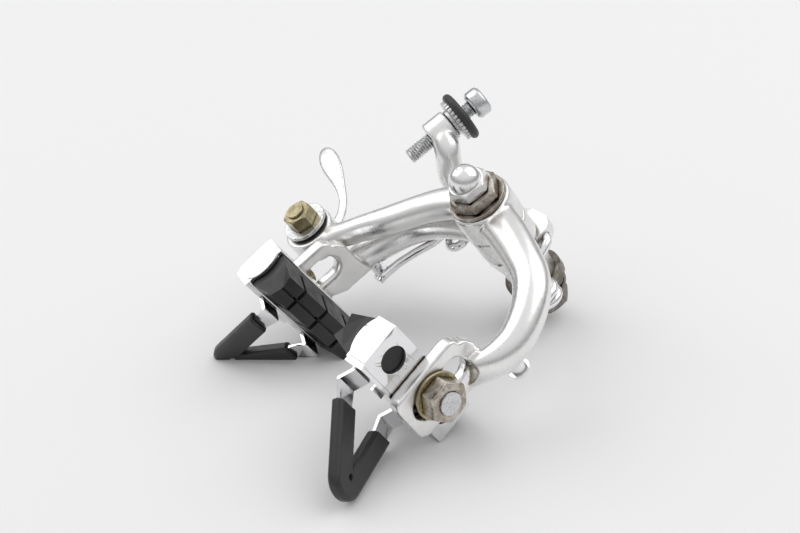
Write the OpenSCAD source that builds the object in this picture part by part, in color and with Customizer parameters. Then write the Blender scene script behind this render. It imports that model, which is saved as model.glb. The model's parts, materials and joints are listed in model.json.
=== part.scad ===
// Side-pull caliper brake for a road bicycle, with block shoes, wheel guides,
// a quick-release cable anchor and a barrel adjuster.
// The origin is on the pivot bolt, where the toothed washer meets the fork crown.
// +Y points into the fork, +X to the right seen from the front, +Z up.
// Both arms are drawn in their closed position and then opened by open_angle.

/* [Pose] */
// Angle by which each arm stands open, degrees
open_angle = 6; // [4:1:7]
// Turn of the right shoe about its stud, degrees
right_shoe_tilt = 1.3; // [0:0.1:4]
// Turn of the left shoe about its stud, degrees
left_shoe_tilt = 3.1; // [0:0.1:4]

/* [Pivot stack] */
// Diameter of the bolt shoulder that the arms turn on
shoulder_d = 8; // [7:0.5:9]
// Diameter of the bolt thread
thread_d = 6; // [5:1:6]
// Thickness of the toothed washer at the fork
seat_washer_t = 3; // [2:0.5:4]
// Length of the round collar at the fork
collar_l = 10.1; // [9:0.1:12]
// Thickness of the block that holds the return spring
block_t = 4.2; // [3.8:0.1:5]
// Thickness of the thin washer behind the rear arm
rear_washer_t = 0.8; // [0.5:0.1:1.2]
// Thickness of the rear arm at the pivot
rear_boss_l = 8; // [7:0.5:10]
// Thickness of the thin washer between the arms
arm_washer_t = 0.6; // [0.4:0.1:1]
// Thickness of the front arm at the pivot
front_boss_l = 9.3; // [8:0.1:11]
// Thickness of the washer in front of the front arm
front_washer_t = 1.2; // [0.8:0.1:2]
// Height of the lock nut
lock_nut_h = 3.1; // [2.5:0.1:4]
// Height of the hexagon of the domed nut
acorn_hex_h = 3.2; // [2.5:0.1:4]
// Height of the rear nut
rear_nut_h = 6; // [5:0.5:9]

/* [Arms] */
// Radius of the arm bosses
boss_r = 8.7; // [8:0.1:9.5]
// Distance from the middle plane to the inner face of a shoe plate, closed
plate_x = 26.75; // [25:0.25:29]
// Thickness of a shoe plate
plate_t = 4; // [3:0.5:5]
// Half width of a shoe plate
plate_half_w = 7.6; // [7:0.1:9]
// Height of the top of a shoe plate
plate_top_z = -34.3; // [-36:0.1:-33]
// Height of the bottom of a shoe plate
plate_bottom_z = -60; // [-62:0.5:-58]
// Width of the slot for the shoe stud
slot_w = 6.6; // [6.4:0.1:7]

/* [Shoes] */
// Length of a shoe holder
holder_l = 36.3; // [34:0.1:42]
// Height of a shoe holder
holder_h = 12.3; // [11:0.1:13]
// Thickness of the holder's sheet metal
sheet_t = 1.2; // [0.8:0.1:1.5]
// Depth of the holder
holder_depth = 7.4; // [6:0.1:9]
// Distance from the arm plate to the working face of the rubber
pad_depth = 13.2; // [12:0.1:15]

/* [Adjuster] */
// Diameter of the adjuster's thread
adjuster_d = 4.6; // [4:0.1:5]
// Diameter of the adjuster's head
adjuster_head_d = 8.6; // [8:0.1:10]
// Outer diameter of the rubber ring on the adjuster wheel
o_ring_d = 15.3; // [14:0.1:17]

/* [Hidden] */
$fn = 64;

// Running gap between faces that slide on each other
gap = 0.05;
// How far a cutter passes the face that it cuts
over = 1;
// Length of a cutter or rod that goes right through
through = 40;

// Stations along the pivot, from the fork seat forward
collar_rear_y = -seat_washer_t;
block_rear_y = collar_rear_y - collar_l;
block_front_y = block_rear_y - block_t;
rear_boss_rear_y = block_front_y - rear_washer_t - gap;
rear_boss_front_y = rear_boss_rear_y - rear_boss_l;
front_boss_rear_y = rear_boss_front_y - arm_washer_t - 2 * gap;
front_boss_front_y = front_boss_rear_y - front_boss_l;
front_washer_front_y = front_boss_front_y - front_washer_t - gap;
lock_nut_front_y = front_washer_front_y - lock_nut_h;
acorn_hex_front_y = lock_nut_front_y - acorn_hex_h;
// Middle planes of the two arms
front_mid_y = (front_boss_front_y + front_boss_rear_y) / 2;
rear_mid_y = (rear_boss_front_y + rear_boss_rear_y) / 2;

// Stations behind the fork seat
inner_ring_t = 1.2;
grip_ring_t = 1.2;
outer_ring_t = 1.1;
grip_ring_y = inner_ring_t;
outer_ring_y = grip_ring_y + grip_ring_t;
rear_nut_y = outer_ring_y + outer_ring_t;
bolt_end_y = rear_nut_y + rear_nut_h + 1;

// Shoe plates: the stud of the right one and of the left one
plate_mid_y = front_mid_y - 1.2;
right_stud_z = -50;
left_stud_z = -52.5;
stud_r = 3;
// The left plate and shoe stand this much further back
left_back = 0.8;

bolt_r = thread_d / 2 - gap;

// Quick-release eye on the front arm, in the arm's closed position
eye_x = -51.4;
eye_z = -28.8;
eye_r = 7.6;
eye_front_y = front_mid_y - 3.4;
eye_rear_y = front_mid_y + 3.4;
// The anchor bolt sits off the cam's centre
cam_offset = [-0.6, 0, 0.6];
cam_r = 4.4;
lever_t = 1.6;
anchor_r = 2.5;
anchor_disc_t = 1.2;

// Adjuster axis on the rear arm, in the arm's closed position
adjuster_tilt = 5;
adjuster_foot = [-35.1, front_mid_y - 3.85, 8];
adjuster_eye_l = 7.2;
adjuster_eye_r = 4.9;

// Colours
alloy = "#c9c9c7";
steel = "#8b8377";
chrome = "#d5d7da";
zinc = "#aeb0af";
brass = "#b09a5c";
black = "#1c1c1e";

// Helpers for curved limbs. A limb's points are [x, y, z, half width, half thickness].
function unit(v) = v / norm(v);
function place_of(p) = [p[0], p[1], p[2]];
function catmull(a, b, c, d, t) =
    0.5 * (2 * b + (c - a) * t + (2 * a - 5 * b + 4 * c - d) * t * t
           + (3 * b - a - 3 * c + d) * t * t * t);
function spline(p, steps) = concat(
    [for (i = [0 : len(p) - 2], k = [0 : steps - 1])
        catmull(p[max(i - 1, 0)], p[i], p[i + 1], p[min(i + 2, len(p) - 1)], k / steps)],
    [p[len(p) - 1]]);
function heading(p, i) =
    unit(place_of(p[min(i + 1, len(p) - 1)]) - place_of(p[max(i - 1, 0)]));
function round_ring(p, i, sides) =
    let (t = heading(p, i), s = unit(cross([0, 1, 0], t)), b = cross(t, s))
    [for (k = [0 : sides - 1])
        place_of(p[i]) + p[i][3] * cos(360 * k / sides) * s + p[i][4] * sin(360 * k / sides) * b];
function flat_ring(p, i) =
    let (t = heading(p, i), s = unit(cross([0, 1, 0], t)), b = cross(t, s))
    [for (k = [[1, 1], [-1, 1], [-1, -1], [1, -1]])
        place_of(p[i]) + p[i][3] * k[0] * s + p[i][4] * k[1] * b];

// A closed skin over a row of rings with the same number of points each
module skin(rings) {
    n = len(rings[0]);
    last = len(rings) - 1;
    polyhedron(
        points = [for (r = rings, q = r) q],
        faces = concat(
            [[for (k = [0 : n - 1]) k]],
            [[for (k = [n - 1 : -1 : 0]) last * n + k]],
            [for (i = [0 : last - 1], k = [0 : n - 1])
                [i * n + k, (i + 1) * n + k, (i + 1) * n + (k + 1) % n]],
            [for (i = [0 : last - 1], k = [0 : n - 1])
                [i * n + k, (i + 1) * n + (k + 1) % n, i * n + (k + 1) % n]]));
}

module limb(points, steps = 4, sides = 20) {
    p = spline(points, steps);
    skin([for (i = [0 : len(p) - 1]) round_ring(p, i, sides)]);
}

module strip(points, steps = 4) {
    p = spline(points, steps);
    skin([for (i = [0 : len(p) - 1]) flat_ring(p, i)]);
}

// A cylinder along +Y from y to y + l
module rod_y(x, y, z, r, l) {
    translate([x, y, z]) rotate([-90, 0, 0]) cylinder(r = r, h = l);
}

// A hexagonal nut with chamfered corners, its seat at along = 0 and growing to +along
module nut_profile(width, height, chamfer_low, chamfer_high) {
    corner = width / 2 / cos(30);
    flat_r = width / 2 - 0.2;
    rise = (corner - flat_r) * 0.55;
    polygon([
        [0, 0], [chamfer_low ? flat_r : corner, 0], [corner, chamfer_low ? rise : 0],
        [corner, height - (chamfer_high ? rise : 0)], [chamfer_high ? flat_r : corner, height],
        [0, height]]);
}

module nut(width, height, hole_r, chamfer_low, chamfer_high) {
    difference() {
        intersection() {
            cylinder(d = width / cos(30), h = height, $fn = 6);
            rotate_extrude() nut_profile(width, height, chamfer_low, chamfer_high);
        }
        translate([0, 0, -over]) cylinder(r = hole_r, h = height + 2 * over);
    }
}

module ring(outer_r, hole_r, t) {
    difference() {
        cylinder(r = outer_r, h = t);
        translate([0, 0, -over]) cylinder(r = hole_r, h = t + 2 * over);
    }
}

// Faces an item that is drawn along +Z toward the front, its foot at y
module facing_front(y, turn = 0) {
    translate([0, y, 0]) rotate([90, 0, 0]) rotate([0, 0, turn]) children();
}

module facing_back(y, turn = 0) {
    translate([0, y, 0]) rotate([-90, 0, 0]) rotate([0, 0, turn]) children();
}

// Pivot stack
module pivot_bolt() {
    shoulder_front = front_washer_front_y + 2;
    chamfer = 0.6;
    color(steel) {
        rod_y(0, shoulder_front, 0, shoulder_d / 2 - gap, block_front_y + 2 - shoulder_front);
        rod_y(0, acorn_hex_front_y, 0, bolt_r, bolt_end_y - acorn_hex_front_y - chamfer);
        translate([0, bolt_end_y - chamfer, 0]) rotate([-90, 0, 0])
            cylinder(r1 = bolt_r, r2 = bolt_r - chamfer, h = chamfer);
    }
}

module acorn_nut() {
    dome_r = 4.4;
    color(alloy) facing_front(lock_nut_front_y, 18.4) difference() {
        union() {
            nut(10, acorn_hex_h, 1, true, true);
            cylinder(r = dome_r, h = acorn_hex_h + 0.3);
            translate([0, 0, acorn_hex_h + 0.3]) sphere(r = dome_r);
        }
        translate([0, 0, -over]) cylinder(r = bolt_r + gap, h = acorn_hex_h + over);
    }
}

module lock_nut() {
    color(steel) facing_front(front_washer_front_y, 22.1)
        nut(12.9, lock_nut_h, bolt_r + gap, true, true);
}

module front_washer() {
    color(steel) facing_front(front_boss_front_y - gap) ring(8.1, shoulder_d / 2, front_washer_t);
}

module arm_washer() {
    color(steel) facing_front(front_boss_rear_y + arm_washer_t + gap)
        ring(8.2, shoulder_d / 2, arm_washer_t);
}

module rear_arm_washer() {
    color(steel) facing_front(block_front_y) ring(8, shoulder_d / 2, rear_washer_t);
}

// Fork side: a block right behind the arms holds the spring, and a collar reaches the fork
block_half_w = 6.5;
spring_wire_r = 1.3;
spring_z = 7.4;
spring_y = block_front_y + block_t / 2;
module spring_block() {
    collar_r = 6.8;
    color(alloy) difference() {
        union() {
            rod_y(0, block_front_y, 0, collar_r, collar_l + block_t);
            translate([0, block_front_y, 0]) rotate([-90, 0, 0]) linear_extrude(block_t)
                polygon([
                    [-3, -11.9], [3, -11.9], [5.2, -10.6], [block_half_w, -8.6],
                    [block_half_w, 4], [3.8, 7.6], [-3.8, 7.6], [-block_half_w, 4],
                    [-block_half_w, -8.6], [-5.2, -10.6]]);
        }
        rod_y(0, block_front_y - over, 0, shoulder_d / 2, 2 + over);
        rod_y(0, block_front_y, 0, bolt_r + gap, collar_l + block_t + over);
        translate([-block_half_w - over, spring_y, spring_z]) rotate([0, 90, 0])
            cylinder(r = spring_wire_r + gap, h = 2 * (block_half_w + over));
    }
}

// Toothed washer: radial teeth bite into the fork crown
module seat_washer() {
    tooth_count = 24;
    color(steel) facing_front(0) difference() {
        ring(8.6, bolt_r + gap, seat_washer_t);
        for (k = [0 : tooth_count - 1]) rotate([0, 0, 360 * k / tooth_count])
            translate([4.6, 0, 0]) rotate([0, 90, 0]) cylinder(r = 0.55, h = 6, $fn = 4);
    }
}

module inner_ring_washer() {
    color(steel) facing_back(0) ring(7.4, bolt_r + gap, inner_ring_t);
}

module grip_ring() {
    color(steel) facing_back(grip_ring_y) ring(6.6, bolt_r + gap, grip_ring_t);
}

module outer_ring_washer() {
    color(steel) facing_back(outer_ring_y) ring(7.4, bolt_r + gap, outer_ring_t);
}

module rear_nut() {
    color(steel) facing_back(rear_nut_y, 42) nut(10.4, rear_nut_h, bolt_r + gap, true, true);
}

// Return spring: a bar through the block, one coil and one leg on each side
front_peg = [33.2, front_mid_y + 12.8, -30.4];
rear_peg = [-31.2, rear_mid_y + 7.6, -31.2];
front_peg_foot = 4;
peg_r = 2.1;
peg_head_r = 2.9;
peg_play = 0.02;
coil_r = 3.4;
coil_x = 20.4;
coil_z = -6.3;
coil_rear_y = -12.4;
coil_pitch = 2.75;
function on_open_arm(p, side) =
    [p[0] * cos(open_angle) - side * p[2] * sin(open_angle), p[1],
     side * p[0] * sin(open_angle) + p[2] * cos(open_angle)];
function spring_side(side) =
    let (peg = side > 0 ? front_peg : rear_peg,
         beside = side * (peg_r + spring_wire_r + 0.5),
         rest = on_open_arm([peg[0] - beside, peg[1], peg[2]], side),
         first = -40,
         last = 440,
         leg_y = coil_rear_y - coil_pitch * (last - first) / 360,
         end_y = peg[1] - spring_wire_r - 0.2)
    concat(
        [[0, spring_y, spring_z], [side * 6.5, spring_y, spring_z],
         [side * 8, spring_y + 0.2, spring_z - 0.9], [side * 8.7, spring_y + 0.5, spring_z - 3],
         [side * 9.6, spring_y + 1, spring_z - 7.4], [side * 11.8, spring_y + 1.7, spring_z - 10.6],
         [side * 15, spring_y + 2.4, spring_z - 11.5]],
        [for (a = [first : 20 : last]) [
            side * (coil_x + coil_r * sin(a)), coil_rear_y - coil_pitch * (a - first) / 360,
            coil_z + coil_r * cos(a)]],
        [[side * 24.9, leg_y, -12.2], [side * 27.6, leg_y + (end_y - leg_y) * 0.4, -17.5],
         [rest[0] * 0.975, leg_y + (end_y - leg_y) * 0.75, -23],
         [rest[0], end_y, rest[2]], [rest[0], end_y, rest[2] - 2.4]]);
module return_spring() {
    color(chrome) for (side = [1, -1]) {
        path = [for (p = spring_side(side)) [p[0], p[1], p[2], spring_wire_r, spring_wire_r]];
        skin([for (i = [0 : len(path) - 1]) round_ring(path, i, 10)]);
    }
}

// Arms
module slot_2d(y, z_low, z_high, r) {
    translate([y, z_low]) circle(r = r);
    translate([y, z_high]) circle(r = r);
    translate([y - r, z_low]) square([2 * r, z_high - z_low]);
}

// Turns a drawing in the Y-Z plane to stand at x and grow along +X
module on_side(x, t) {
    translate([x, 0, 0]) rotate([90, 0, 90]) linear_extrude(t) children();
}

module rounded_2d(y0, z0, y1, z1, r) {
    translate([y0 + r, z0]) square([y1 - y0 - 2 * r, z1 - z0]);
    translate([y0, z0 + r]) square([y1 - y0, z1 - z0 - 2 * r]);
    for (y = [y0 + r, y1 - r], z = [z0 + r, z1 - r]) translate([y, z]) circle(r = r);
}

// Shoe plate of the right side, with its top edge rising toward the back
module shoe_plate(mid_y, back_y) {
    on_side(plate_x, plate_t) {
        rounded_2d(mid_y - plate_half_w, plate_bottom_z, mid_y + plate_half_w,
            plate_top_z - 3, 3);
        translate([mid_y, plate_top_z - 6])
            polygon([[-4.5, 4], [-1.5, 6], [4, 6], [back_y, 7.5], [back_y, -2],
                [plate_half_w, -9], [plate_half_w - 2, -9], [-4.5, -4]]);
    }
}

module shoe_slot(mid_y) {
    slot_high_z = -42.3;
    slot_low_z = -54;
    bevel = 1;
    on_side(plate_x - over, plate_t + 2 * over)
        slot_2d(mid_y, slot_low_z, slot_high_z, slot_w / 2);
    for (z = [slot_low_z, slot_high_z]) translate([plate_x - 0.01, mid_y, z])
        rotate([0, 90, 0])
            cylinder(r1 = slot_w / 2 + bevel, r2 = slot_w / 2, h = bevel);
    translate([plate_x - 0.01, mid_y, slot_low_z]) linear_extrude(slot_high_z - slot_low_z)
        polygon([[0, -slot_w / 2 - bevel], [bevel, -slot_w / 2], [bevel, slot_w / 2],
            [0, slot_w / 2 + bevel]]);
}

// Spot face round the outside of the slot, where the shoe's washer slides
module washer_seat() {
    seat_low_z = -56;
    seat_high_z = -46;
    on_side(plate_x + plate_t, 8) slot_2d(plate_mid_y, seat_low_z, seat_high_z, 7.2);
}

right_limb = [
    [0, front_mid_y, 0, 5.8, 4.3],
    [11, front_mid_y, -3.4, 5.6, 4.4],
    [23, front_mid_y + 0.55, -8.8, 5.2, 4.7],
    [28.9, front_mid_y + 1.55, -12.7, 5, 4.8],
    [33.1, front_mid_y + 2.55, -19, 4.8, 4.7],
    [35.4, front_mid_y + 3.35, -26.9, 4.6, 4.6],
    [34.4, front_mid_y + 3.7, -33, 4.3, 4.6],
    [31.6, front_mid_y + 3.6, -38.5, 3, 4.4],
    [29.6, front_mid_y + 3, -43.5, 1.2, 3.4]
];
anchor_limb = [
    [0, front_mid_y, 0, 5.8, 4.3],
    [-9, front_mid_y, -0.6, 5.4, 4.2],
    [-15.4, front_mid_y, -3.4, 5, 4.1],
    [-21.5, front_mid_y, -7.8, 4.6, 4],
    [-29.4, front_mid_y, -15, 4.3, 4],
    [-35.4, front_mid_y, -20, 3.9, 3.9],
    [-41, front_mid_y, -24.8, 3.9, 3.6],
    [-45.6, front_mid_y, -27.6, 5, 3.3],
    [-50.8, front_mid_y, -28.6, 5.6, 3.1]
];
module front_arm_closed() {
    difference() {
        union() {
            rod_y(0, front_boss_front_y, 0, boss_r, front_boss_l);
            limb(right_limb);
            limb(anchor_limb);
            shoe_plate(plate_mid_y, 9);
            rod_y(eye_x, eye_front_y, eye_z, eye_r, eye_rear_y - eye_front_y);
        }
        rod_y(0, front_boss_front_y - over, 0, shoulder_d / 2, front_boss_l + 2 * over);
        rod_y(eye_x, eye_front_y - over, eye_z, cam_r, eye_rear_y - eye_front_y + 2 * over);
        shoe_slot(plate_mid_y);
        rod_y(front_peg[0], front_mid_y + front_peg_foot, front_peg[2], peg_r, through / 2);
        washer_seat();
    }
}

left_limb = [
    [0, rear_mid_y, 0, 5.8, 3.7],
    [-11, rear_mid_y, -4, 5.4, 3.8],
    [-21.5, rear_mid_y + 0.6, -10, 5, 4.1],
    [-28, rear_mid_y + 0.9, -16.5, 4.8, 4.3],
    [-31.5, rear_mid_y + 0.9, -24, 4.6, 4.4],
    [-32.8, rear_mid_y + 0.2, -31, 4.4, 4.4],
    [-31, rear_mid_y - 1.6, -37, 3.2, 4.4],
    [-29.4, rear_mid_y - 4, -42.5, 1.2, 3.4]
];
adjuster_horn = [
    [0, rear_mid_y, 0, 5.6, 3.7],
    [-9, rear_mid_y, -0.3, 5, 3.7],
    [-17, rear_mid_y - 0.6, 0.2, 4.5, 3.7],
    [-23.2, rear_mid_y - 3, 1, 4.1, 3.7],
    [-26.8, rear_mid_y - 5.9, 2, 3.9, 3.7],
    [-28.2, rear_mid_y - 8.4, 3.7, 3.8, 3.7],
    [-29.4, rear_mid_y - 10.8, 5.4, 3.8, 3.8],
    [-31.6, rear_mid_y - 12.5, 6.9, 3.8, 3.8],
    [-35.1, rear_mid_y - 13.1, 8, 3.7, 3.7]
];
module rear_arm_closed() {
    difference() {
        union() {
            rod_y(0, rear_boss_front_y, 0, boss_r - 0.2, rear_boss_l);
            limb(left_limb);
            limb(adjuster_horn);
            mirror([1, 0, 0]) shoe_plate(plate_mid_y + left_back, 11);
            translate(adjuster_foot) rotate([0, adjuster_tilt, 0])
                translate([0, 0, -adjuster_eye_l / 2])
                    cylinder(r = adjuster_eye_r, h = adjuster_eye_l);
        }
        rod_y(0, rear_boss_front_y - over, 0, shoulder_d / 2, rear_boss_l + 2 * over);
        mirror([1, 0, 0]) shoe_slot(plate_mid_y + left_back);
        translate(adjuster_foot) rotate([0, adjuster_tilt, 0])
            cylinder(r = adjuster_d / 2 + gap, h = through, center = true);
        rod_y(rear_peg[0], rear_mid_y, rear_peg[2], peg_r, through / 2);
        mirror([1, 0, 0]) washer_seat();
    }
}

// Puts an item drawn in an arm's closed position onto the open arm
module on_arm(side) {
    rotate([0, -side * open_angle, 0]) children();
}

module front_arm() {
    color(alloy) on_arm(1) front_arm_closed();
}

module rear_arm() {
    color(alloy) on_arm(-1) rear_arm_closed();
}

module spring_peg(end, y) {
    color(chrome) {
        rod_y(end[0], y, end[2], peg_r - peg_play, end[1] - y);
        rod_y(end[0], end[1] - 0.01, end[2], peg_head_r, 0.9);
    }
}

module front_spring_peg() {
    on_arm(1) spring_peg(front_peg, front_mid_y + front_peg_foot);
}

module rear_spring_peg() {
    on_arm(-1) spring_peg(rear_peg, rear_mid_y);
}

// Adjuster, drawn along +Z with the foot of its axis at the origin
wheel_low = adjuster_eye_l / 2 + 0.2;
wheel_disc = 1;
wheel_ring = 2.5;
wheel_t = 4.6;
flange_t = 0.5;
head_low = 11.2;
barrel_end = 11.6;
module on_adjuster() {
    on_arm(-1) translate(adjuster_foot) rotate([0, adjuster_tilt, 0]) children();
}

module adjuster_barrel() {
    head_l = 4.6;
    socket_r = 2.6;
    socket_l = 3.8;
    cable_r = 1;
    color(zinc) on_adjuster() difference() {
        union() {
            translate([0, 0, -barrel_end]) cylinder(r = adjuster_d / 2, h = head_low + barrel_end);
            translate([0, 0, head_low]) cylinder(d = adjuster_head_d, h = head_l);
        }
        translate([0, 0, -barrel_end - over]) cylinder(r = cable_r, h = through);
        translate([0, 0, head_low + head_l - socket_l]) cylinder(r = socket_r, h = socket_l + over);
    }
}

// The wheel: a hub, a splined disc and a flange that hold the rubber ring between them
module adjuster_wheel() {
    disc_r = 6.6;
    hub_r = 4.15;
    flange_r = 5.9;
    splines = 30;
    color(zinc) on_adjuster() translate([0, 0, wheel_low]) difference() {
        union() {
            cylinder(r = hub_r, h = wheel_t);
            translate([0, 0, wheel_disc]) difference() {
                cylinder(r = disc_r, h = wheel_ring - wheel_disc);
                for (k = [0 : splines - 1]) rotate([0, 0, 360 * k / splines])
                    translate([disc_r, 0, -over]) cylinder(r = 0.36, h = 4, $fn = 4);
            }
            translate([0, 0, wheel_t - flange_t]) cylinder(r = flange_r, h = flange_t);
        }
        translate([0, 0, -over]) cylinder(r = adjuster_d / 2 + gap, h = through);
    }
}

module adjuster_o_ring() {
    ring_r = 1.7;
    ring_t = wheel_t - flange_t - wheel_ring;
    color(black) on_adjuster() translate([0, 0, wheel_low + wheel_ring + ring_t / 2])
        rotate_extrude() translate([o_ring_d / 2 - ring_r, 0]) intersection() {
            circle(r = ring_r);
            square([4 * ring_r, ring_t], center = true);
        }
}

// Quick release: a cam with a lever behind the eye, and the anchor bolt through it
module at_eye(y) {
    translate([eye_x, y, eye_z]) children();
}

lever_path = [
    [-0.4, 0, 5, 3.2, 0.7],
    [-1, 0, 10, 2.4, 0.7],
    [-4.5, -0.6, 14.5, 2.2, 0.7],
    [-10, -2, 18.5, 3, 0.9],
    [-16, -3.2, 21.6, 4.6, 1],
    [-22, -3.8, 24.2, 4.9, 1],
    [-26.6, -4, 26, 2.6, 0.8]
];
module quick_release_lever() {
    color(chrome) on_arm(1) at_eye(eye_rear_y + gap) difference() {
        union() {
            rod_y(0, 0, 0, 6.6, lever_t);
            rod_y(0, eye_front_y - eye_rear_y - gap - 0.2, 0, cam_r - gap,
                eye_rear_y - eye_front_y + 0.3 + lever_t);
            translate([0, lever_t / 2, 0]) strip(lever_path, 3);
        }
        translate(cam_offset) rod_y(0, -through / 2, 0, anchor_r + gap, through);
    }
}

module at_anchor(y) {
    on_arm(1) at_eye(y) translate(cam_offset) children();
}

disc_front_y = eye_front_y - 2.1;
module anchor_bolt() {
    end_l = 5;
    head_r = 4.2;
    head_t = 2;
    shank_l = eye_rear_y + lever_t + 2 * gap - disc_front_y;
    color(brass) at_anchor(disc_front_y) {
        rod_y(0, -end_l, 0, anchor_r, shank_l + end_l);
        rod_y(0, shank_l, 0, head_r, head_t);
    }
}

module cable_washer() {
    color(zinc) at_anchor(disc_front_y) rotate([-90, 0, 0]) ring(6.7, anchor_r + gap, anchor_disc_t);
}

module anchor_ring() {
    color(black) at_anchor(disc_front_y + anchor_disc_t) rotate([-90, 0, 0])
        ring(5.6, anchor_r + gap, 0.6);
}

module anchor_nut() {
    color(brass) at_anchor(disc_front_y) rotate([90, 0, 0]) nut(8, 4.3, anchor_r + gap, false, true);
}

// Shoes, drawn on the right side with the stud's axis along +X at the origin
module on_shoe(side) {
    mirror([side < 0 ? 1 : 0, 0, 0]) on_arm(1)
        translate([plate_x, plate_mid_y + (side < 0 ? left_back : 0),
            side < 0 ? left_stud_z : right_stud_z]) children();
}

module tilted_shoe(side) {
    on_shoe(side) rotate([side < 0 ? left_shoe_tilt : right_shoe_tilt, 0, 0]) children();
}

shoe_washer_t = 1;
module shoe_washer(side) {
    color(brass) on_shoe(side) translate([plate_t + gap, 0, 0]) rotate([0, 90, 0])
        ring(6.4, stud_r + gap, shoe_washer_t);
}

module shoe_nut(side) {
    color(steel) on_shoe(side) translate([plate_t + gap + shoe_washer_t, 0, 0]) rotate([0, 90, 0])
        nut(10, 4.4, stud_r + gap, false, true);
}

module shoe_stud(side) {
    head_r = 4;
    head_t = 1;
    end_l = 6;
    color(steel) tilted_shoe(side) rotate([0, 90, 0]) {
        translate([0, 0, -sheet_t - head_t])
            cylinder(r = stud_r, h = head_t + sheet_t + plate_t + end_l);
        translate([0, 0, -sheet_t - gap - head_t]) cylinder(r = head_r, h = head_t);
    }
}

// Shoe holder: a channel with two lips, open at the back and closed by a bent-up end plate
holder_front_y = -20.4;
holder_drop = -0.85;
module holder_section() {
    half = holder_h / 2;
    lip = 1;
    difference() {
        translate([-holder_depth, -half]) square([holder_depth - gap, holder_h]);
        translate([-holder_depth + sheet_t, -half + sheet_t])
            square([holder_depth - 2 * sheet_t - gap, holder_h - 2 * sheet_t]);
        translate([-holder_depth - over, -half + sheet_t + lip])
            square([sheet_t + 2 * over, holder_h - 2 * sheet_t - 2 * lip]);
    }
}

module holder_end_2d() {
    end_r = 7.9;
    end_half = holder_h / 2 - 0.6;
    intersection() {
        translate([-holder_depth - 3, -end_half])
            square([holder_depth + 3 - gap, 2 * end_half]);
        translate([-0.9, -0.3]) circle(r = end_r);
    }
}

module shoe_holder(side) {
    hole_r = 3.6;
    hole_in = 6.2;
    color(chrome) tilted_shoe(side) translate([0, 0, holder_drop]) difference() {
        union() {
            translate([0, holder_front_y, 0]) rotate([-90, 0, 0])
                linear_extrude(holder_l) holder_section();
            translate([0, holder_front_y - 0.3, 0]) rotate([-90, 0, 0])
                linear_extrude(sheet_t) holder_end_2d();
        }
        translate([-sheet_t - over, 0, -holder_drop]) rotate([0, 90, 0])
            cylinder(r = stud_r + gap, h = 20);
        for (y = [holder_front_y + hole_in, holder_front_y + holder_l - hole_in])
            translate([-sheet_t - over, y, 0]) rotate([0, 90, 0])
                cylinder(r = hole_r, h = 20);
    }
}

// Brake pad: a dovetailed block with a sloped front end and cross grooves
module pad_section() {
    inner = holder_h / 2 - sheet_t - 0.15;
    neck = inner - 1.1;
    wide = holder_h / 2 - 0.4;
    face = wide - 2.3;
    foot_x = -sheet_t - 0.2;
    lip_x = -holder_depth + sheet_t + 0.15;
    top_x = -holder_depth - 0.2;
    polygon([
        [foot_x, inner], [lip_x, inner], [lip_x, neck], [top_x, neck], [top_x - 0.2, wide],
        [-pad_depth, face], [-pad_depth, -face], [top_x - 0.2, -wide], [top_x, -neck],
        [lip_x, -neck], [lip_x, -inner], [foot_x, -inner]]);
}

module brake_pad(side) {
    pad_l = holder_l - 1.6;
    slope_l = 5.4;
    first_groove = 9.8;
    pitch = 9.8;
    groove = 1.2;
    head_room = 4.3;
    color(black) tilted_shoe(side) translate([0, holder_front_y + 1.2, holder_drop])
        difference() {
            rotate([-90, 0, 0]) linear_extrude(pad_l) pad_section();
            translate([0, 0, -10]) linear_extrude(20)
                polygon([[-pad_depth, slope_l], [-holder_depth - 2.2, -over],
                    [-pad_depth - 2, -over], [-pad_depth - 2, slope_l]]);
            for (k = [0 : 2])
                translate([-pad_depth - 2, first_groove + k * pitch, -10])
                    cube([6, groove, 20]);
            translate([-pad_depth - 2, slope_l, -0.35]) cube([2.8, pad_l, 0.7]);
            translate([-sheet_t - 1.3, -holder_front_y - 1.2, -holder_drop])
                rotate([0, 90, 0]) cylinder(r = head_room, h = 5);
        }
}

// Wheel guide: a sheet-metal base under the holder, two bent strips and a flared V
guide_t = 1;
guide_base_z = holder_drop - holder_h / 2;
guide_leg_w = 6.2;
leg_spread = 9.3;
sleeve_start = 5.1;
function guide_tip(side) = side > 0 ? [-1, 20.9] : [1.6, 21.6];
function guide_bend(side) = side > 0 ? [-9.3, -3.7, -11.8] : [-11.4, -1.3, -8.9];
function guide_turn(side) = side > 0 ? 34 : 37;

// Where the line from p touches the circle round c, on the side s
function touch(p, c, r, s) =
    let (v = p - c, a = atan2(v[1], v[0]) + s * acos(r / norm(v))) c + r * [cos(a), sin(a)];

// The V lies in a plane: first across the wheel's path, then down from the bend
module in_guide_plane(side, t) {
    translate(guide_bend(side)) rotate([0, -90 - guide_turn(side), 0]) rotate([0, 0, 90])
        linear_extrude(t, center = true) children();
}

module vee_2d(side, outer, start, inner, apex, tip_r) {
    tip = guide_tip(side);
    left = [-outer, start];
    right = [outer, start];
    difference() {
        union() {
            polygon([left, touch(left, tip, tip_r, -1), touch(right, tip, tip_r, 1), right]);
            translate(tip) circle(r = tip_r);
        }
        polygon([[-inner, start - over], [-inner, start], [tip[0] * 0.8, apex], [inner, start],
            [inner, start - over]]);
    }
}

module guide_strip(bend, y) {
    from = [-6.6, guide_base_z - guide_t / 2];
    to = [bend[0], bend[2]];
    side_step = unit([to[1] - from[1], from[0] - to[0]]) * guide_t / 2;
    translate([0, y + guide_leg_w / 2, 0]) rotate([90, 0, 0]) linear_extrude(guide_leg_w)
        polygon([from + side_step, to + side_step, to - side_step, from - side_step]);
    rod_y(to[0], y - guide_leg_w / 2, to[1], guide_t / 2, guide_leg_w);
}

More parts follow.
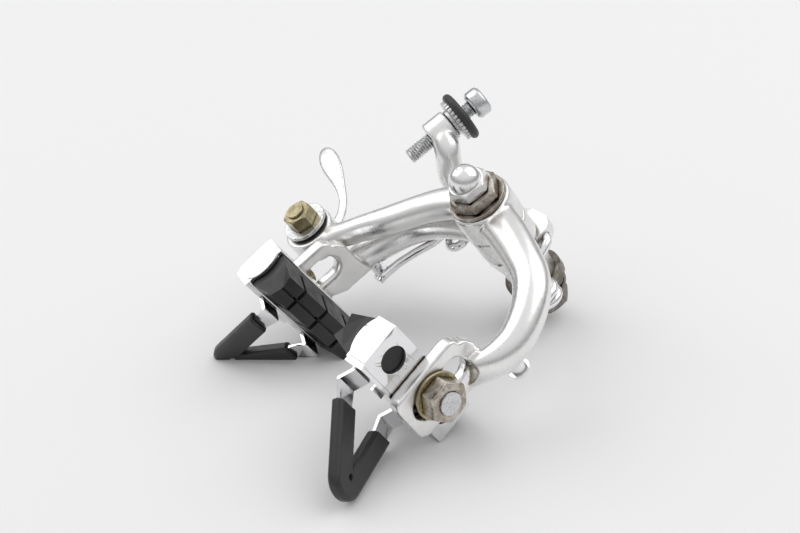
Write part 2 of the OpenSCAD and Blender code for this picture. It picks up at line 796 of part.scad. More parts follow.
module wheel_guide(side) {
    bend = guide_bend(side);
    base_front_y = holder_front_y + 0.2;
    base_back_y = bend[1] + leg_spread + guide_leg_w / 2;
    tab_w = 4;
    tab_l = 1.9;
    hole_r = 0.8;
    color(chrome) tilted_shoe(side) difference() {
        union() {
            translate([-7, base_front_y, guide_base_z - guide_t])
                cube([6.8, base_back_y - base_front_y, guide_t]);
            for (s = [-1, 1]) guide_strip(bend, bend[1] + s * leg_spread);
            translate([-6.9, bend[1] - leg_spread + guide_leg_w / 2 + 2,
                guide_base_z - tab_l]) cube([guide_t, tab_w, tab_l]);
            in_guide_plane(side, guide_t) {
                vee_2d(side, 10.5, 5, 5.3, 19.8, 4.4);
                for (s = [-1, 1])
                    polygon([[s * (leg_spread + guide_leg_w / 2), 0], [s * 10.5, 5.01],
                        [s * 5.3, 5.01], [s * (leg_spread - guide_leg_w / 2), 0]]);
            }
        }
        in_guide_plane(side, 4) translate(guide_tip(side)) circle(r = hole_r);
    }
}

// Plastic sleeve over the V, with its edges stepped in to look rounded
module guide_sleeve(side) {
    hole_r = 0.8;
    fit = 0.04;
    color(black) tilted_shoe(side) difference() {
        union() for (k = [[0, 1.9], [0.3, 2.8], [0.8, 3.5]])
            in_guide_plane(side, k[1])
                vee_2d(side, 11.5 - k[0], sleeve_start, 4.4 + k[0], 18.6 + 1.5 * k[0], 5.6 - k[0]);
        in_guide_plane(side, guide_t + 2 * fit)
            vee_2d(side, 10.5 + fit, 5, 5.3 - fit, 19.8 - fit, 4.4 + fit);
        in_guide_plane(side, 4) translate(guide_tip(side)) circle(r = hole_r);
    }
}

pivot_bolt();
acorn_nut();
lock_nut();
front_washer();
arm_washer();
rear_arm_washer();
spring_block();
return_spring();
seat_washer();
inner_ring_washer();
grip_ring();
outer_ring_washer();
rear_nut();
front_arm();
front_spring_peg();
rear_arm();
rear_spring_peg();
adjuster_barrel();
adjuster_wheel();
adjuster_o_ring();
quick_release_lever();
anchor_bolt();
cable_washer();
anchor_ring();
anchor_nut();
shoe_washer(1);  // right_shoe_washer
shoe_nut(1);  // right_shoe_nut
shoe_stud(1);  // right_shoe_stud
shoe_holder(1);  // right_shoe_holder
brake_pad(1);  // right_brake_pad
wheel_guide(1);  // right_wheel_guide
guide_sleeve(1);  // right_guide_sleeve
shoe_washer(-1);  // left_shoe_washer
shoe_nut(-1);  // left_shoe_nut
shoe_stud(-1);  // left_shoe_stud
shoe_holder(-1);  // left_shoe_holder
brake_pad(-1);  // left_brake_pad
wheel_guide(-1);  // left_wheel_guide
guide_sleeve(-1);  // left_guide_sleeve
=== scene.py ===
import json
import math
from collections import namedtuple

import bmesh
import bpy
from mathutils import Matrix, Vector

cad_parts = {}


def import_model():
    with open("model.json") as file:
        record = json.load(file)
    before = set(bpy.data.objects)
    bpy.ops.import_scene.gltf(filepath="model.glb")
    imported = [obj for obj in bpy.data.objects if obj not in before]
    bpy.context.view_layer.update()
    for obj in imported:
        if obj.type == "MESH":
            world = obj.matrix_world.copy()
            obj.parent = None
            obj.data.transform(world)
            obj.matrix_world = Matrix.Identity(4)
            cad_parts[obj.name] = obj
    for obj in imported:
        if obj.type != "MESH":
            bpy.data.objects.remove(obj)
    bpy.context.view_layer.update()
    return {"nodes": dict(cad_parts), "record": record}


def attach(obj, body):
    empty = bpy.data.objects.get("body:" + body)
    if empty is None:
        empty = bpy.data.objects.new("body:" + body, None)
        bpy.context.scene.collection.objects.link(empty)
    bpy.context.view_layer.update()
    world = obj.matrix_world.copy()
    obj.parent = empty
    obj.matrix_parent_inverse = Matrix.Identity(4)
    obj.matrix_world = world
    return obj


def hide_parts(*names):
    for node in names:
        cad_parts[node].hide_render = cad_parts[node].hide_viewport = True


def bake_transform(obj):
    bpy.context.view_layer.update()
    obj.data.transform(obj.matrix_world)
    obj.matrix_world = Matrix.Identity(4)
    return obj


# The camera, in metres and in the part's own frame: +Y points into the fork, +Z up
CAMERA_PLACE = Vector((0.25217, -0.24744, -0.0654))
CAMERA_RIGHT = Vector((0.5162, 0.4996, 0.6956))
CAMERA_UP = Vector((-0.3828, -0.5919, 0.7093))
CAMERA_LENS = 56.67
SENSOR_WIDTH = 36.0
NEAR_CLIP = 0.01
# The table that the brake lies on touches the rear nut and the tips of the wheel guides
TABLE_UP = Vector((0.0, -0.861, 0.508)).normalized()
TABLE_POINT = Vector((0.0, -0.0314, -0.0785))
TABLE_HALF = 3.0
TABLE_COLOR = (0.82, 0.82, 0.82)
LAMP_AIM = Vector((0, -0.03, -0.02))
MM = 0.001


# Camera, table and lamps

def set_camera():
    data = bpy.data.cameras.new("camera")
    data.lens = CAMERA_LENS
    data.sensor_width = SENSOR_WIDTH
    data.clip_start = NEAR_CLIP
    camera = bpy.data.objects.new("camera", data)
    right = CAMERA_RIGHT.normalized()
    back = right.cross(CAMERA_UP).normalized()
    up = back.cross(right)
    turn = Matrix((right, up, back)).transposed().to_4x4()
    camera.matrix_world = Matrix.Translation(CAMERA_PLACE) @ turn
    bpy.context.scene.collection.objects.link(camera)
    bpy.context.scene.camera = camera


def table_axes():
    """The table's directions: to the right of the picture, and away from the camera"""
    across = (CAMERA_RIGHT - TABLE_UP * CAMERA_RIGHT.dot(TABLE_UP)).normalized()
    away = TABLE_UP.cross(across)
    return across, away


def add_table():
    mesh = bpy.data.meshes.new("table")
    across, away = table_axes()
    corners = [TABLE_POINT + across * TABLE_HALF * a + away * TABLE_HALF * b
               for a, b in ((-1, -1), (1, -1), (1, 1), (-1, 1))]
    mesh.from_pydata([tuple(c) for c in corners], [], [(0, 1, 2, 3)])
    table = bpy.data.objects.new("table", mesh)
    bpy.context.scene.collection.objects.link(table)
    look = Look("table_paper", TABLE_COLOR, 0.0, 0.75)
    grain = look.noise(700, detail=3)
    look.bump(grain, 0.03 * MM, 0.15)
    table.data.materials.append(look.material)


def add_lamp(name, place, size, power):
    """A square softbox. place is in metres across the table, away from the camera and above it."""
    data = bpy.data.lights.new(name, "AREA")
    data.shape = "SQUARE"
    data.size = size
    data.energy = power
    lamp = bpy.data.objects.new(name, data)
    across, away = table_axes()
    lamp.location = TABLE_POINT + across * place[0] + away * place[1] + TABLE_UP * place[2]
    aim = LAMP_AIM - lamp.location
    lamp.rotation_euler = aim.to_track_quat("-Z", "Y").to_euler()
    bpy.context.scene.collection.objects.link(lamp)


def light_scene():
    """A pale room that is brighter overhead, and two large softboxes"""
    world = bpy.data.worlds.new("studio")
    world.use_nodes = True
    tree = world.node_tree
    background = tree.nodes["Background"]
    where = tree.nodes.new("ShaderNodeTexCoord")
    height = tree.nodes.new("ShaderNodeVectorMath")
    height.operation = "DOT_PRODUCT"
    height.inputs[1].default_value = TABLE_UP
    tree.links.new(where.outputs["Generated"], height.inputs[0])
    ramp = tree.nodes.new("ShaderNodeValToRGB")
    stops = ((0.0, 0.35), (0.18, 0.42), (0.45, 0.8), (0.8, 1.0))
    coolness = 1.01
    set_stops(ramp, [(place, (level, level, level * coolness)) for place, level in stops])
    tree.links.new(height.outputs["Value"], ramp.inputs["Fac"])
    tree.links.new(ramp.outputs["Color"], background.inputs["Color"])
    background.inputs["Strength"].default_value = 0.8
    bpy.context.scene.world = world
    add_lamp("softbox_left", (-0.7, 0.45, 0.95), 1.15, 4.4)
    add_lamp("softbox_right", (0.75, 0.25, 0.95), 1.2, 4.8)


# Materials

def set_stops(ramp, stops):
    """Fills a color ramp with (place, (r, g, b)) stops"""
    elements = ramp.color_ramp.elements
    while len(elements) < len(stops):
        elements.new(0.5)
    for element, (place, color) in zip(elements, stops):
        element.position = place
        element.color = (*color, 1)


class Look:
    """A Principled material, with helpers that add its nodes"""

    def __init__(self, name, color, metallic, rough):
        self.material = bpy.data.materials.new(name)
        self.material.use_nodes = True
        self.tree = self.material.node_tree
        self.shader = self.tree.nodes["Principled BSDF"]
        self.shader.inputs["Base Color"].default_value = (*color, 1)
        self.shader.inputs["Metallic"].default_value = metallic
        self.shader.inputs["Roughness"].default_value = rough

    def link(self, out, socket):
        self.tree.links.new(out, socket)

    def place(self, stretch=(1, 1, 1), turn=(0, 0, 0)):
        """The piece's own coordinates in metres, turned and stretched"""
        where = self.tree.nodes.new("ShaderNodeTexCoord")
        mapping = self.tree.nodes.new("ShaderNodeMapping")
        mapping.inputs["Scale"].default_value = stretch
        mapping.inputs["Rotation"].default_value = turn
        self.link(where.outputs["Object"], mapping.inputs["Vector"])
        return mapping.outputs["Vector"]

    def noise(self, scale, detail=4, rough=0.5, stretch=(1, 1, 1), turn=(0, 0, 0)):
        node = self.tree.nodes.new("ShaderNodeTexNoise")
        node.inputs["Scale"].default_value = scale
        node.inputs["Detail"].default_value = detail
        node.inputs["Roughness"].default_value = rough
        self.link(self.place(stretch, turn), node.inputs["Vector"])
        return node.outputs["Fac"]

    def spread(self, value, low, high, to_low=0.0, to_high=1.0):
        """Maps value from low..high to to_low..to_high, and clamps it"""
        node = self.tree.nodes.new("ShaderNodeMapRange")
        for name, number in (("From Min", low), ("From Max", high),
                             ("To Min", to_low), ("To Max", to_high)):
            node.inputs[name].default_value = number
        self.link(value, node.inputs["Value"])
        return node.outputs["Result"]

    def math(self, kind, a, b):
        node = self.tree.nodes.new("ShaderNodeMath")
        node.operation = kind
        for socket, value in zip(node.inputs, (a, b)):
            if isinstance(value, (int, float)):
                socket.default_value = value
            else:
                self.link(value, socket)
        return node.outputs["Value"]

    def tint(self, fac, color):
        """Lays color over the base color where fac is high"""
        node = self.tree.nodes.new("ShaderNodeMix")
        node.data_type = "RGBA"
        base = self.shader.inputs["Base Color"]
        if base.is_linked:
            self.link(base.links[0].from_socket, node.inputs["A"])
        else:
            node.inputs["A"].default_value = base.default_value
        node.inputs["B"].default_value = (*color, 1)
        self.link(fac, node.inputs["Factor"])
        self.link(node.outputs["Result"], base)

    def roughness(self, value):
        self.link(value, self.shader.inputs["Roughness"])

    def bump(self, height, depth, strength=1.0):
        node = self.tree.nodes.new("ShaderNodeBump")
        node.inputs["Distance"].default_value = depth
        node.inputs["Strength"].default_value = strength
        self.link(height, node.inputs["Height"])
        normal = self.shader.inputs["Normal"]
        if normal.is_linked:
            self.link(normal.links[0].from_socket, node.inputs["Normal"])
        self.link(node.outputs["Normal"], normal)

    def corner_shade(self, reach):
        """Painted shade: high where a surface lies in a corner, within reach, as ambient occlusion
        finds it
        """
        node = self.tree.nodes.new("ShaderNodeAmbientOcclusion")
        node.inputs["Distance"].default_value = reach
        node.samples = 6
        return self.spread(node.outputs["AO"], 0.35, 0.85, 1.0, 0.0)

    def edges(self, radius):
        """High along edges, where handling wears the surface bright"""
        rounded = self.tree.nodes.new("ShaderNodeBevel")
        rounded.samples = 4
        rounded.inputs["Radius"].default_value = radius
        plain = self.tree.nodes.new("ShaderNodeNewGeometry")
        dot = self.tree.nodes.new("ShaderNodeVectorMath")
        dot.operation = "DOT_PRODUCT"
        self.link(rounded.outputs["Normal"], dot.inputs[0])
        self.link(plain.outputs["Normal"], dot.inputs[1])
        return self.spread(dot.outputs["Value"], 0.995, 0.9)

    def scratches(self, depth, strength):
        """Fine hairlines in three directions"""
        turns = ((0.2, 0.5, 0.1), (1.1, 0.2, 0.9), (0.6, 1.4, 2.0))
        lines = None
        for turn in turns:
            line = self.noise(1, detail=2, stretch=(5200, 160, 160), turn=turn)
            line = self.spread(line, 0.6, 0.72)
            lines = line if lines is None else self.math("MAXIMUM", lines, line)
        self.bump(lines, depth, strength)
        return lines


def satin_alloy():
    """Polished aluminium that has dulled: soft clouds, hairlines and a few small pits"""
    look = Look("satin_alloy", (0.87, 0.865, 0.855), 1.0, 0.28)
    clouds = look.noise(70, detail=5, rough=0.6)
    look.tint(look.spread(clouds, 0.42, 0.66, 0.0, 0.6), (0.76, 0.75, 0.735))
    fine = look.noise(420, detail=4)
    # Painted shade: a brownish grey laid into the alloy's corners
    look.tint(look.corner_shade(1.6 * MM), (0.5, 0.47, 0.43))
    pits = look.spread(look.noise(1500, detail=2), 0.7, 0.76)
    look.tint(look.math("MULTIPLY", pits, 0.55), (0.4, 0.38, 0.36))
    rough = look.math("ADD", look.spread(clouds, 0.35, 0.65, 0.22, 0.33),
                      look.spread(fine, 0.4, 0.7, 0.0, 0.07))
    look.roughness(rough)
    look.bump(fine, 0.02 * MM, 0.35)
    look.scratches(0.004 * MM, 0.35)
    return look.material


def bright_alloy():
    """Bright turned alloy with light handling marks"""
    look = Look("bright_alloy", (0.88, 0.88, 0.88), 1.0, 0.22)
    clouds = look.noise(260, detail=4)
    look.tint(look.spread(clouds, 0.5, 0.7, 0.0, 0.5), (0.72, 0.71, 0.7))
    # Painted shade: a dark brown laid into the alloy's corners
    look.tint(look.corner_shade(0.9 * MM), (0.42, 0.39, 0.35))
    look.roughness(look.spread(clouds, 0.35, 0.7, 0.18, 0.3))
    look.scratches(0.004 * MM, 0.4)
    return look.material


def grimy_steel(name="grimy_steel", color=(0.3, 0.265, 0.225), bright=(0.62, 0.59, 0.54),
                dirt_and_shade=(0.075, 0.058, 0.042), rough=0.3):
    """Steel browned by old oil and grime, rubbed bright on its edges, with painted shade in its
    corners
    """
    look = Look(name, color, 1.0, rough)
    blots = look.noise(330, detail=6, rough=0.65)
    fine = look.noise(1700, detail=4, rough=0.6)
    look.tint(look.spread(blots, 0.46, 0.62, 0.0, 0.85), bright)
    look.tint(look.spread(fine, 0.55, 0.75, 0.0, 0.6), dirt_and_shade)
    look.tint(look.math("MULTIPLY", look.edges(0.35 * MM), look.spread(fine, 0.3, 0.6)), bright)
    # Painted shade: the grime colour laid into corners by ambient occlusion
    look.tint(look.math("MULTIPLY", look.corner_shade(1.0 * MM), 0.85), dirt_and_shade)
    look.roughness(look.math("ADD", look.spread(blots, 0.4, 0.65, rough - 0.08, rough + 0.1),
                             look.spread(fine, 0.5, 0.8, 0.0, 0.2)))
    look.bump(fine, 0.05 * MM, 0.5)
    look.bump(blots, 0.08 * MM, 0.35)
    return look.material


def chromed_steel():
    """Mirror chrome with smears, hairlines and shallow dents"""
    look = Look("chromed_steel", (0.87, 0.87, 0.88), 1.0, 0.08)
    smears = look.noise(240, detail=5, rough=0.6, stretch=(1, 0.5, 1.6))
    look.tint(look.spread(smears, 0.52, 0.7, 0.0, 0.45), (0.66, 0.65, 0.63))
    # Painted shade: a dark grey laid into the chrome's corners
    look.tint(look.corner_shade(0.8 * MM), (0.3, 0.28, 0.26))
    look.roughness(look.spread(smears, 0.35, 0.72, 0.05, 0.22))
    look.bump(look.noise(190, detail=1), 0.14 * MM, 0.5)
    look.scratches(0.005 * MM, 0.5)
    return look.material


def zinc_plate(name="zinc_plate", speck=0.5, color=(0.66, 0.67, 0.68)):
    """Plating gone dull and speckled"""
    look = Look(name, color, 1.0, 0.3)
    blots = look.noise(520, detail=5, rough=0.6)
    look.tint(look.spread(blots, 0.45, 0.7, 0.0, 0.6), (0.5, 0.5, 0.5))
    specks = look.spread(look.noise(2100, detail=3, rough=0.6), 0.56, 0.66, 0.0, speck)
    look.tint(specks, (0.16, 0.15, 0.14))
    # Painted shade: a dark brown laid into the plating's corners
    look.tint(look.corner_shade(0.7 * MM), (0.14, 0.12, 0.1))
    look.roughness(look.spread(blots, 0.35, 0.7, 0.2, 0.42))
    look.bump(look.noise(1300, detail=3), 0.03 * MM, 0.5)
    return look.material


def yellow_brass():
    """Old brass, with painted greenish brown shade in its corners, and brighter on its edges"""
    look = Look("yellow_brass", (0.43, 0.375, 0.225), 1.0, 0.3)
    blots = look.noise(420, detail=5, rough=0.65)
    look.tint(look.spread(blots, 0.42, 0.62, 0.0, 0.75), (0.25, 0.21, 0.125))
    look.tint(look.edges(0.3 * MM), (0.66, 0.61, 0.44))
    # Painted shade: a dark greenish brown laid into the brass's corners
    look.tint(look.corner_shade(0.9 * MM), (0.08, 0.065, 0.035))
    look.roughness(look.spread(blots, 0.35, 0.7, 0.2, 0.42))
    look.bump(look.noise(1500, detail=3), 0.04 * MM, 0.5)
    return look.material


def pad_rubber():
    """Hard brake rubber with a fine skin and a little dust"""
    look = Look("pad_rubber", (0.018, 0.0165, 0.017), 0.0, 0.42)
    fine = look.noise(1900, detail=4, rough=0.6)
    dust = look.noise(300, detail=5, rough=0.6)
    look.tint(look.spread(dust, 0.5, 0.75, 0.0, 0.35), (0.055, 0.052, 0.05))
    look.tint(look.math("MULTIPLY", look.edges(0.3 * MM), 0.3), (0.07, 0.068, 0.066))
    look.roughness(look.spread(dust, 0.35, 0.7, 0.3, 0.55))
    look.bump(fine, 0.03 * MM, 0.5)
    return look.material


def sleeve_plastic():
    """Soft black plastic dipped over the wheel guides"""
    look = Look("sleeve_plastic", (0.024, 0.024, 0.026), 0.0, 0.36)
    soft = look.noise(240, detail=3)
    fine = look.noise(2600, detail=2)
    look.tint(look.spread(soft, 0.5, 0.75, 0.0, 0.3), (0.05, 0.05, 0.052))
    look.roughness(look.spread(soft, 0.35, 0.7, 0.28, 0.46))
    look.bump(fine, 0.015 * MM, 0.4)
    look.bump(soft, 0.12 * MM, 0.35)
    return look.material


def ring_rubber():
    """The rubber of the adjuster's ring"""
    look = Look("ring_rubber", (0.03, 0.03, 0.029), 0.0, 0.5)
    fine = look.noise(2200, detail=3)
    look.tint(look.spread(fine, 0.55, 0.8, 0.0, 0.4), (0.07, 0.07, 0.068))
    look.roughness(look.spread(fine, 0.3, 0.7, 0.4, 0.6))
    look.bump(fine, 0.02 * MM, 0.5)
    return look.material


def finishes():
    """Materials by the record's slot names, and by node where a node differs from its slot"""
    dark = grimy_steel("dark_steel", (0.17, 0.15, 0.13), (0.42, 0.4, 0.37),
                       (0.04, 0.032, 0.026), 0.36)
    worn = grimy_steel("worn_nut_steel", (0.36, 0.315, 0.26), (0.68, 0.64, 0.58),
                       (0.11, 0.078, 0.05), 0.28)
    slots = {
        "satin_alloy": satin_alloy(),
        "bright_alloy": bright_alloy(),
        "grimy_steel": grimy_steel(),
        "chromed_steel": chromed_steel(),
        "zinc_plate": zinc_plate(),
        "yellow_brass": yellow_brass(),
        "black_rubber": pad_rubber(),
    }
    sleeve = sleeve_plastic()
    ring = ring_rubber()
    named = {
        "quick_release_lever": zinc_plate("pitted_chrome", 0.45, (0.82, 0.82, 0.83)),
        "cable_washer": zinc_plate("mottled_zinc", 0.95, (0.7, 0.71, 0.72)),
        "seat_washer": dark,
        "inner_ring_washer": dark,
        "grip_ring": dark,
        "outer_ring_washer": dark,
        "rear_nut": dark,
        "right_shoe_nut": worn,
        "left_shoe_nut": worn,
        "right_guide_sleeve": sleeve,
        "left_guide_sleeve": sleeve,
        "adjuster_o_ring": ring,
        "anchor_ring": ring,
    }
    return slots, named


# Shapes: CAD nodes keep their meshes, and modifiers round their edges. Widths are in millimetres.

FORGED = ("front_arm", "rear_arm")
FORGED_VOXEL = 0.32
FORGED_ROUNDS = 24
MOULDED = ("right_guide_sleeve", "left_guide_sleeve")
MOULDED_VOXEL = 0.22
MOULDED_ROUNDS = 6
BEVEL_FROM = math.radians(32)
WELD = 0.001
EDGE = {
    "acorn_nut": 0.15, "lock_nut": 0.2, "front_washer": 0.25, "spring_block": 0.35,
    "rear_nut": 0.25, "inner_ring_washer": 0.2, "outer_ring_washer": 0.2,
    "adjuster_wheel": 0.12, "anchor_bolt": 0.2,
    "cable_washer": 0.2, "anchor_ring": 0.15, "anchor_nut": 0.2,
    "right_shoe_washer": 0.2, "left_shoe_washer": 0.2,
    "right_shoe_nut": 0.45, "left_shoe_nut": 0.45,
    "right_shoe_stud": 0.3, "left_shoe_stud": 0.3,
    "right_shoe_holder": 0.25, "left_shoe_holder": 0.25,
    "right_wheel_guide": 0.2, "left_wheel_guide": 0.2,
}


def join_corners(thing):
    weld = thing.modifiers.new("weld", "WELD")
    weld.merge_threshold = WELD * MM


def soften(thing, voxel, rounds):
    """Flows a forged or moulded piece's edges together"""
    join_corners(thing)
    remesh = thing.modifiers.new("remesh", "REMESH")
    remesh.mode = "VOXEL"
    remesh.voxel_size = voxel * MM
    remesh.use_smooth_shade = True
    smooth = thing.modifiers.new("smooth", "SMOOTH")
    smooth.factor = 0.5
    smooth.iterations = rounds


def round_edges(thing, width):
    join_corners(thing)
    bevel = thing.modifiers.new("bevel", "BEVEL")
    bevel.width = width * MM
    bevel.segments = 2
    bevel.limit_method = "ANGLE"
    bevel.angle_limit = BEVEL_FROM
    bevel.miter_outer = "MITER_ARC"
    bevel.harden_normals = True


def shape_nodes(nodes):
    for name in FORGED:
        soften(nodes[name], FORGED_VOXEL, FORGED_ROUNDS)
    for name in MOULDED:
        soften(nodes[name], MOULDED_VOXEL, MOULDED_ROUNDS)
    for name, width in EDGE.items():
        round_edges(nodes[name], width)


# Pieces that stand for CAD nodes. Lengths in this part are part.scad's, in millimetres.

# Where a value differs between the sides, it is listed by side: 1 is right and -1 is left

OPEN_ANGLE = math.radians(6)
# Where the shoe's stud meets the plate of the closed arm
PLATE = {1: (26.75, -32.7, -50), -1: (26.75, -31.9, -52.5)}
SHOE_TILT = {1: math.radians(1.3), -1: math.radians(3.1)}
HOLDER_DROP = -0.85
# The quick release's eye on the closed front arm: its axis, and its rear face
EYE_X = -51.4
EYE_Z = -28.8
EYE_REAR_Y = -28.1


def on_arm(side):
    """From an arm's closed position, in millimetres, to its place on the open arm, in metres"""
    mirror = Matrix.Diagonal((MM * side, MM, MM, 1))
    return mirror @ Matrix.Rotation(-OPEN_ANGLE, 4, "Y")


def joint_line(frame, name):
    """A joint's place in millimetres, and its axis"""
    joints = frame["record"]["behaviour"]["joints"]
    joint = next(row for row in joints if row["name"] == name)
    return Vector(joint["pos_m"]) / MM, Vector(joint["axis"])


def new_piece(name, points, faces, material, body, stands_for):
    """A mesh piece that rides on body and stands for a CAD node. points are in metres."""
    mesh = bpy.data.meshes.new(name)
    mesh.from_pydata([tuple(point) for point in points], [], faces)
    mesh.validate()
    tool = bmesh.new()
    tool.from_mesh(mesh)
    bmesh.ops.recalc_face_normals(tool, faces=tool.faces)
    tool.to_mesh(mesh)
    tool.free()
    piece = bpy.data.objects.new(name, mesh)
    bpy.context.scene.collection.objects.link(piece)
    piece.data.materials.append(material)
    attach(piece, body)
    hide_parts(stands_for)
    return piece


def smooth_by_angle(piece, degrees):
    mesh = piece.data
    mesh.shade_smooth()
    mesh.set_sharp_from_angle(angle=math.radians(degrees))


def deeper_pad(nodes, side, name, material, body):
    """The rubber stands further out of its holder than the solid, with a square front end"""
    # Depths are measured from the arm's plate, and the rest from the rubber's front end
    holder_face = 7.6
    solid_depth = 13.2
    depth = 17.0
    front = -19.2
    length = 34.7
    slope_end = 5.4
    groove_shift = -3.1
    # The groove along the working face starts a little behind the front end
    long_groove_start = 0.9
    long_groove_half = 0.5
    near = 0.2
    place = (on_arm(side) @ Matrix.Translation(PLATE[side])
             @ Matrix.Rotation(SHOE_TILT[side], 4, "X") @ Matrix.Translation((0, 0, HOLDER_DROP)))
    back = place.inverted()
    source = nodes[name].data
    grow = (depth - holder_face) / (solid_depth - holder_face)
    points = []
    for vertex in source.vertices:
        x, y, z = back @ vertex.co
        along = y - front
        outside_holder = x < -holder_face - near / 2
        if outside_holder and abs(along - slope_end) < near:
            along = long_groove_start if abs(z) < long_groove_half else 0.0
        elif outside_holder and slope_end < along < length - 1:
            along += groove_shift
        if outside_holder:
            x = -holder_face + (x + holder_face) * grow
        points.append(place @ Vector((x, front + along, z)))
    faces = [tuple(face.vertices) for face in source.polygons]
    piece = new_piece(name + "_rubber", points, faces, material, body, name)
    round_edges(piece, 0.3)


Thread = namedtuple("Thread", "low high pitch depth from_radius")


def lathe(name, profile, material, body, slot, stands_for, origin, axis, thread=None):
    """A turned piece from (radius, height) points in millimetres, with a thread cut into it"""
    sides = 48
    side = axis.orthogonal().normalized()
    other = axis.cross(side)
    points = []
    rings = len(profile)
    for radius, height in profile:
        for k in range(sides):
            r = radius
            if thread and thread.low < height < thread.high and radius > thread.from_radius:
                phase = (height / thread.pitch - k / sides) % 1
                r -= thread.depth * abs(2 * phase - 1)
            angle = 2 * math.pi * k / sides
            ray = side * math.cos(angle) + other * math.sin(angle)
            points.append((origin + axis * height + ray * r) * MM)
    faces = [(i * sides + k, i * sides + (k + 1) % sides,
              (i + 1) % rings * sides + (k + 1) % sides, (i + 1) % rings * sides + k)
             for i in range(rings) for k in range(sides)]
    piece = new_piece(name, points, faces, material, body, stands_for)
    smooth_by_angle(piece, 40)


def threaded_barrel(frame, material):
    """The barrel, with its thread below the wheel and the socket for the cable's housing"""
    thread = Thread(low=-11.1, high=10.9, pitch=0.8, depth=0.36, from_radius=2.2)
    outer = 2.3
    steps = 170
    shank = [(outer, thread.low + (thread.high - thread.low) * i / steps)
             for i in range(steps + 1)]
    profile = ([(1.0, -11.6), (1.85, -11.6)] + shank
               + [(2.0, 11.2), (3.5, 11.2), (4.2, 11.8), (4.3, 12.1), (4.3, 14.8), (4.15, 15.2),
                  (3.5, 15.75), (2.75, 15.8), (2.6, 15.6), (2.6, 12.0), (1.0, 12.0)])
    lathe("threaded_adjuster_barrel", profile, material, "adjuster_barrel_group", "zinc_plate",
          "adjuster_barrel", *joint_line(frame, "adjuster_slide"), thread)


def round_ring(frame, material):
    """The rubber ring bulges over the wheel's two rims"""
    middle = 6.25
    half_width = 1.45
    half_height = 1.3
    height = 7.25
    steps = 20
    profile = []
    for i in range(steps):
        angle = 2 * math.pi * i / steps
        profile.append((middle + half_width * math.cos(angle), height + half_height * math.sin(angle)))
    lathe("adjuster_rubber_ring", profile, material, "adjuster_wheel_group", "black_rubber",
          "adjuster_o_ring", *joint_line(frame, "adjuster_turn"))


def slim_lever(material):
    """The release lever, with a thin neck and a rounded oval end"""
    sides = 20
    width_power = 0.8
    thickness_power = 0.6
    back_gap = 0.85
    # Each section's place, half width and half thickness
    path = [(-0.4, 0, 4.6, 2.6, 0.8), (-0.8, 0, 7.5, 2.0, 0.75), (-1.6, -0.1, 10.5, 1.5, 0.8),
            (-4.5, -0.6, 14.5, 1.25, 0.85), (-8.2, -1.5, 17.3, 1.45, 0.9),
            (-12, -2.3, 19.5, 2.3, 0.95), (-16, -3.1, 21.5, 3.2, 1.05),
            (-20, -3.6, 23.4, 3.5, 1.05), (-23.4, -3.9, 24.9, 2.9, 0.95),
            (-25.6, -4, 25.7, 1.7, 0.7), (-26.4, -4, 26, 0.7, 0.4)]
    place = on_arm(1) @ Matrix.Translation((EYE_X, EYE_REAR_Y + back_gap, EYE_Z))
    points = []
    for i, (x, y, z, half_w, half_t) in enumerate(path):
        before, after = path[max(i - 1, 0)], path[min(i + 1, len(path) - 1)]
        heading = (Vector(after[:3]) - Vector(before[:3])).normalized()
        across = Vector((0, 1, 0)).cross(heading).normalized()
        out = heading.cross(across)
        for k in range(sides):
            a = 2 * math.pi * k / sides
            w = math.copysign(abs(math.cos(a)) ** width_power, math.cos(a)) * half_w
            t = math.copysign(abs(math.sin(a)) ** thickness_power, math.sin(a)) * half_t
            points.append(place @ (Vector((x, y, z)) + across * w + out * t))
    faces = [(i * sides + k, i * sides + (k + 1) % sides,
              (i + 1) * sides + (k + 1) % sides, (i + 1) * sides + k)
             for i in range(len(path) - 1) for k in range(sides)]
    faces += [tuple(range(sides)), tuple((len(path) - 1) * sides + k for k in range(sides))]
    lever = new_piece("slim_release_lever", points, faces, material, "quick_release_group",
                      "quick_release_lever")
    smooth_by_angle(lever, 50)
    flow = lever.modifiers.new("flow", "SUBSURF")
    flow.levels = 1
    flow.render_levels = 1


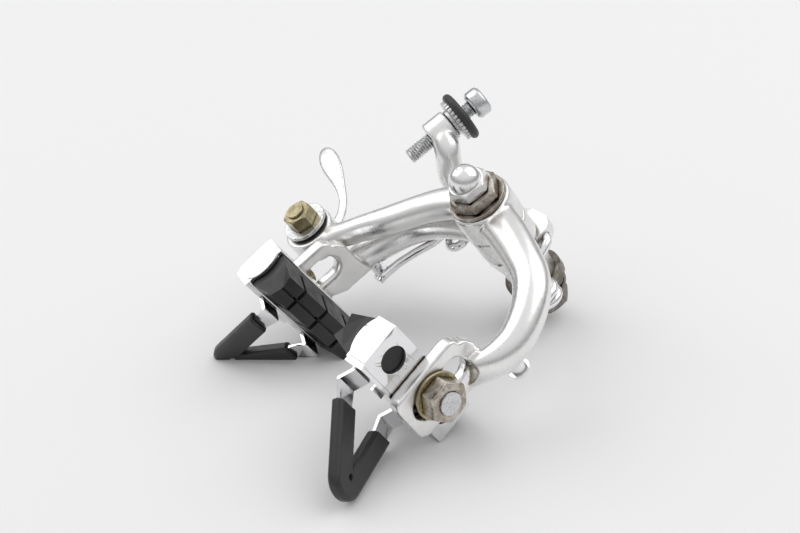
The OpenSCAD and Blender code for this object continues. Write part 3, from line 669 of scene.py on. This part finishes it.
def release_disc(material):
    """The disc behind the eye, which turns with the lever. The cam in the eye isn't made here."""
    bore = 3.1
    outer = 6.6
    chamfer = 0.4
    low = 0.05
    high = 1.65
    rise = 0.35
    profile = [(bore, low), (outer - chamfer, low), (outer, low + rise), (outer, high - rise),
               (outer - chamfer, high), (bore, high)]
    centre = on_arm(1) @ Vector((EYE_X, 0, EYE_Z)) / MM
    centre.y = EYE_REAR_Y
    lathe("release_cam_disc", profile, material, "quick_release_group", "chromed_steel",
          "quick_release_lever", centre, Vector((0, 1, 0)))


def spring_half(nodes, side, material):
    """Half of the return spring: the faces on one side of its middle, with the cut filled"""
    tool = bmesh.new()
    tool.from_mesh(nodes["return_spring"].data)
    bmesh.ops.remove_doubles(tool, verts=tool.verts, dist=0.0001 * MM)
    other = [face for face in tool.faces if face.calc_center_median().x * side < 0]
    bmesh.ops.delete(tool, geom=other, context="FACES")
    rim = [edge for edge in tool.edges if len(edge.link_faces) == 1]
    bmesh.ops.holes_fill(tool, edges=rim, sides=0)
    name = "right_spring_half" if side > 0 else "left_spring_half"
    mesh = bpy.data.meshes.new(name)
    tool.to_mesh(mesh)
    tool.free()
    half = bpy.data.objects.new(name, mesh)
    bpy.context.scene.collection.objects.link(half)
    half.data.materials.append(material)
    smooth_by_angle(half, 60)
    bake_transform(half)
    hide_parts("return_spring")


def main():
    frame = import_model()
    nodes = frame["nodes"]
    set_camera()
    add_table()
    light_scene()
    slots, named = finishes()
    for row in frame["record"]["subparts"]:
        name = row["node"]
        nodes[name].data.materials.clear()
        nodes[name].data.materials.append(named.get(name, slots[row["material_slot"]]))
    shape_nodes(nodes)
    deeper_pad(nodes, 1, "right_brake_pad", slots["black_rubber"], "right_shoe_group")
    deeper_pad(nodes, -1, "left_brake_pad", slots["black_rubber"], "left_shoe_group")
    threaded_barrel(frame, slots["zinc_plate"])
    round_ring(frame, named["adjuster_o_ring"])
    slim_lever(named["quick_release_lever"])
    release_disc(named["quick_release_lever"])
    spring_half(nodes, 1, slots["chromed_steel"])
    spring_half(nodes, -1, slots["chromed_steel"])
    view = bpy.context.scene.view_settings
    view.view_transform = "Standard"


main()
